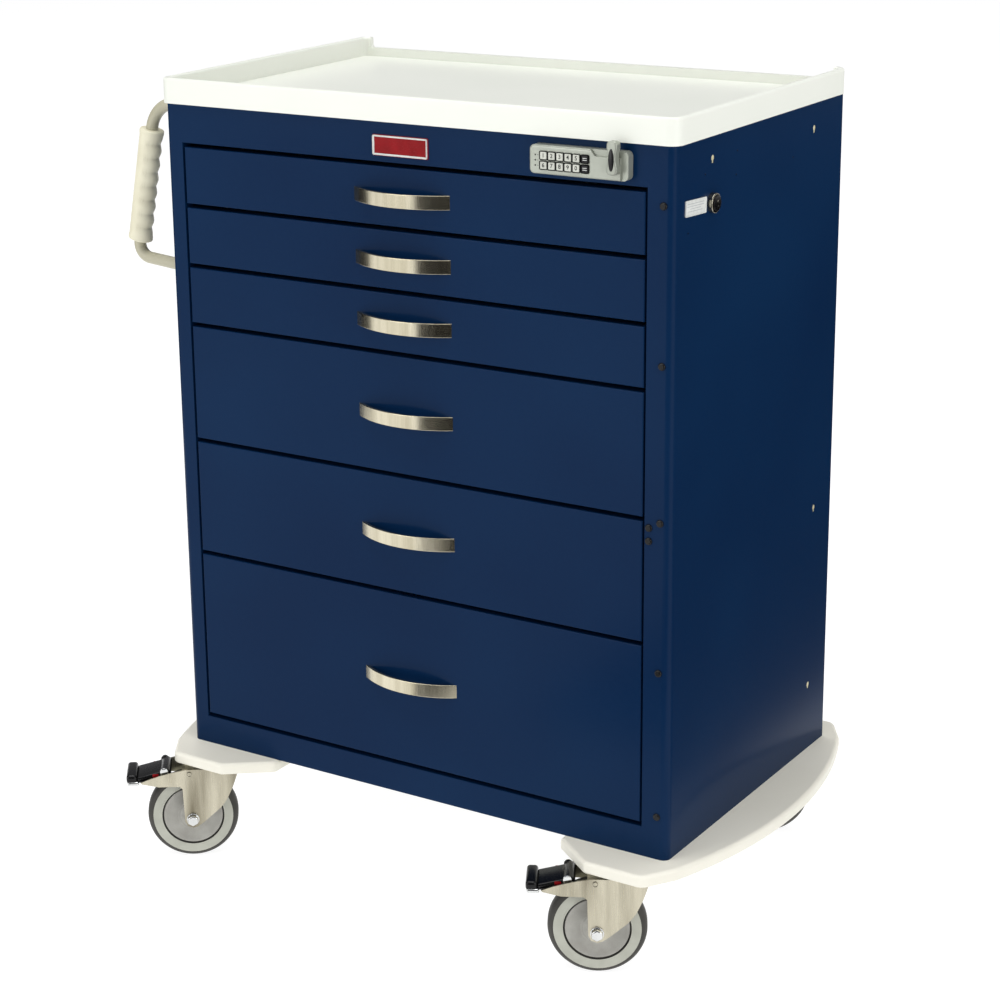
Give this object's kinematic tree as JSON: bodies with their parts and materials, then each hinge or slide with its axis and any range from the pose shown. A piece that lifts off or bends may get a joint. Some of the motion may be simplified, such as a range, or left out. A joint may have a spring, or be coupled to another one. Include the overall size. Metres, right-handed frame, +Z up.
{
  "type": "medication cart",
  "caption": "Steel medication cart with stacked drawers, moulded worktop, keypad lock, side push handle, bumpers and swivel casters.",
  "frame": {"origin": "on the floor, at the middle of the footprint", "axes": "+Z up, the drawers face -Y, the push handle is on the -X side"},
  "size_m": [0.9236, 0.5938, 1.0346],
  "materials": {
    "navy_enamel": "semi-gloss powder coat",
    "grey_enamel": "satin powder coat",
    "white_abs": "smooth moulded, glossy",
    "ivory_abs": "smooth moulded",
    "zinc_steel": "zinc plated",
    "black_plastic": "moulded",
    "red_badge": "glossy enamel",
    "silver_housing": "metallic paint",
    "chrome": "polished",
    "cream_coat": "satin powder coat",
    "cream_vinyl": "soft moulded vinyl",
    "key_rubber": "silicone",
    "brushed_nickel": "brushed along its length",
    "nickel_sheet": "satin nickel plate",
    "wheel_grey": "moulded",
    "tread_rubber": "moulded"
  },
  "bodies": {
    "cart": {"cabinet_shell": "navy_enamel", "base_frame": "zinc_steel", "worktop": "white_abs", "bumper_left": "ivory_abs", "bumper_right": "ivory_abs", "hole_plugs": "black_plastic", "badge_plate": "red_badge", "slide_rails": "zinc_steel", "lock_housing": "silver_housing", "key_lock_body": "chrome", "handle_tube": "cream_coat", "handle_grip": "cream_vinyl", "caster_mounts": "zinc_steel"},
    "drawer_1": {"drawer_1_front": "navy_enamel", "drawer_1_box": "grey_enamel", "drawer_1_pull": "brushed_nickel"},
    "drawer_2": {"drawer_2_front": "navy_enamel", "drawer_2_box": "grey_enamel", "drawer_2_pull": "brushed_nickel"},
    "drawer_3": {"drawer_3_front": "navy_enamel", "drawer_3_box": "grey_enamel", "drawer_3_pull": "brushed_nickel"},
    "drawer_4": {"drawer_4_front": "navy_enamel", "drawer_4_box": "grey_enamel", "drawer_4_pull": "brushed_nickel"},
    "drawer_5": {"drawer_5_front": "navy_enamel", "drawer_5_box": "grey_enamel", "drawer_5_pull": "brushed_nickel"},
    "drawer_6": {"drawer_6_front": "navy_enamel", "drawer_6_box": "grey_enamel", "drawer_6_pull": "brushed_nickel"},
    "key_1": {"key_1": "key_rubber"},
    "key_2": {"key_2": "key_rubber"},
    "key_3": {"key_3": "key_rubber"},
    "key_4": {"key_4": "key_rubber"},
    "key_5": {"key_5": "key_rubber"},
    "key_6": {"key_6": "key_rubber"},
    "key_7": {"key_7": "key_rubber"},
    "key_8": {"key_8": "key_rubber"},
    "key_9": {"key_9": "key_rubber"},
    "key_0": {"key_0": "key_rubber"},
    "key_clear": {"key_clear": "black_plastic"},
    "key_enter": {"key_enter": "black_plastic"},
    "lock_lever": {"lock_lever": "silver_housing"},
    "lock_bar": {"lock_bar": "zinc_steel"},
    "key_plug": {"key_lock_plug": "black_plastic"},
    "fork_front_left": {"fork_front_left": "nickel_sheet"},
    "wheel_front_left": {"wheel_front_left": "wheel_grey", "tyre_front_left": "tread_rubber"},
    "brake_pedal_left": {"brake_pedal_left": "black_plastic"},
    "fork_front_right": {"fork_front_right": "nickel_sheet"},
    "wheel_front_right": {"wheel_front_right": "wheel_grey", "tyre_front_right": "tread_rubber"},
    "brake_pedal_right": {"brake_pedal_right": "black_plastic"},
    "fork_rear_left": {"fork_rear_left": "nickel_sheet"},
    "wheel_rear_left": {"wheel_rear_left": "wheel_grey", "tyre_rear_left": "tread_rubber"},
    "fork_rear_right": {"fork_rear_right": "nickel_sheet"},
    "wheel_rear_right": {"wheel_rear_right": "wheel_grey", "tyre_rear_right": "tread_rubber"}
  },
  "joints": [
    {"name": "drawer_1_slide", "type": "slide", "parent": "cart", "child": "drawer_1", "axis": [0, -1, 0], "range_m": [0, 0.38]},
    {"name": "drawer_2_slide", "type": "slide", "parent": "cart", "child": "drawer_2", "axis": [0, -1, 0], "range_m": [0, 0.38]},
    {"name": "drawer_3_slide", "type": "slide", "parent": "cart", "child": "drawer_3", "axis": [0, -1, 0], "range_m": [0, 0.38]},
    {"name": "drawer_4_slide", "type": "slide", "parent": "cart", "child": "drawer_4", "axis": [0, -1, 0], "range_m": [0, 0.38]},
    {"name": "drawer_5_slide", "type": "slide", "parent": "cart", "child": "drawer_5", "axis": [0, -1, 0], "range_m": [0, 0.38]},
    {"name": "drawer_6_slide", "type": "slide", "parent": "cart", "child": "drawer_6", "axis": [0, -1, 0], "range_m": [0, 0.38]},
    {"name": "key_1_press", "type": "slide", "parent": "cart", "child": "key_1", "axis": [0, 1, 0], "range_m": [0, 0.0012], "stiffness_N_per_m": 300},
    {"name": "key_2_press", "type": "slide", "parent": "cart", "child": "key_2", "axis": [0, 1, 0], "range_m": [0, 0.0012], "stiffness_N_per_m": 300},
    {"name": "key_3_press", "type": "slide", "parent": "cart", "child": "key_3", "axis": [0, 1, 0], "range_m": [0, 0.0012], "stiffness_N_per_m": 300},
    {"name": "key_4_press", "type": "slide", "parent": "cart", "child": "key_4", "axis": [0, 1, 0], "range_m": [0, 0.0012], "stiffness_N_per_m": 300},
    {"name": "key_5_press", "type": "slide", "parent": "cart", "child": "key_5", "axis": [0, 1, 0], "range_m": [0, 0.0012], "stiffness_N_per_m": 300},
    {"name": "key_6_press", "type": "slide", "parent": "cart", "child": "key_6", "axis": [0, 1, 0], "range_m": [0, 0.0012], "stiffness_N_per_m": 300},
    {"name": "key_7_press", "type": "slide", "parent": "cart", "child": "key_7", "axis": [0, 1, 0], "range_m": [0, 0.0012], "stiffness_N_per_m": 300},
    {"name": "key_8_press", "type": "slide", "parent": "cart", "child": "key_8", "axis": [0, 1, 0], "range_m": [0, 0.0012], "stiffness_N_per_m": 300},
    {"name": "key_9_press", "type": "slide", "parent": "cart", "child": "key_9", "axis": [0, 1, 0], "range_m": [0, 0.0012], "stiffness_N_per_m": 300},
    {"name": "key_0_press", "type": "slide", "parent": "cart", "child": "key_0", "axis": [0, 1, 0], "range_m": [0, 0.0012], "stiffness_N_per_m": 300},
    {"name": "key_clear_press", "type": "slide", "parent": "cart", "child": "key_clear", "axis": [0, 1, 0], "range_m": [0, 0.0012], "stiffness_N_per_m": 300},
    {"name": "key_enter_press", "type": "slide", "parent": "cart", "child": "key_enter", "axis": [0, 1, 0], "range_m": [0, 0.0012], "stiffness_N_per_m": 300},
    {"name": "lever_turn", "type": "hinge", "parent": "cart", "child": "lock_lever", "pos_m": [0.33285, -0.19412, 0.9785], "axis": [0, 1, 0], "range_deg": [0, 90]},
    {"name": "lock_bar_lift", "type": "slide", "parent": "cart", "child": "lock_bar", "axis": [0, 0, 1], "range_m": [0, 0.008]},
    {"name": "key_lock_turn", "type": "hinge", "parent": "cart", "child": "key_plug", "pos_m": [0.39985, -0.10612, 0.9265], "axis": [1, 0, 0], "range_deg": [0, 90]},
    {"name": "swivel_front_left", "type": "hinge", "parent": "cart", "child": "fork_front_left", "pos_m": [-0.26515, -0.20312, 0.131], "axis": [0, 0, 1], "continuous": true},
    {"name": "roll_front_left", "type": "hinge", "parent": "fork_front_left", "child": "wheel_front_left", "pos_m": [-0.2939, -0.22479, 0.06], "axis": [-0.6018, 0.7986, 0], "continuous": true},
    {"name": "brake_pedal_left_press", "type": "hinge", "parent": "fork_front_left", "child": "brake_pedal_left", "pos_m": [-0.32505, -0.24826, 0.121], "axis": [0.6018, -0.7986, 0], "range_deg": [0, 12]},
    {"name": "swivel_front_right", "type": "hinge", "parent": "cart", "child": "fork_front_right", "pos_m": [0.35285, -0.20312, 0.131], "axis": [0, 0, 1], "continuous": true},
    {"name": "roll_front_right", "type": "hinge", "parent": "fork_front_right", "child": "wheel_front_right", "pos_m": [0.32121, -0.2203, 0.06], "axis": [-0.4772, 0.8788, 0], "continuous": true},
    {"name": "brake_pedal_right_press", "type": "hinge", "parent": "fork_front_right", "child": "brake_pedal_right", "pos_m": [0.28694, -0.23891, 0.121], "axis": [0.4772, -0.8788, 0], "range_deg": [0, 12]},
    {"name": "swivel_rear_left", "type": "hinge", "parent": "cart", "child": "fork_rear_left", "pos_m": [-0.26515, 0.25488, 0.131], "axis": [0, 0, 1], "continuous": true},
    {"name": "roll_rear_left", "type": "hinge", "parent": "fork_rear_left", "child": "wheel_rear_left", "pos_m": [-0.29534, 0.23527, 0.06], "axis": [-0.5446, 0.8387, 0], "continuous": true},
    {"name": "swivel_rear_right", "type": "hinge", "parent": "cart", "child": "fork_rear_right", "pos_m": [0.35285, 0.25488, 0.131], "axis": [0, 0, 1], "continuous": true},
    {"name": "roll_rear_right", "type": "hinge", "parent": "fork_rear_right", "child": "wheel_rear_right", "pos_m": [0.32266, 0.23527, 0.06], "axis": [-0.5446, 0.8387, 0], "continuous": true}
  ],
  "couplings": [
    {"joint": "lever_turn", "follows": "lock_bar_lift", "rad_per_m": 196.3}
  ]
}
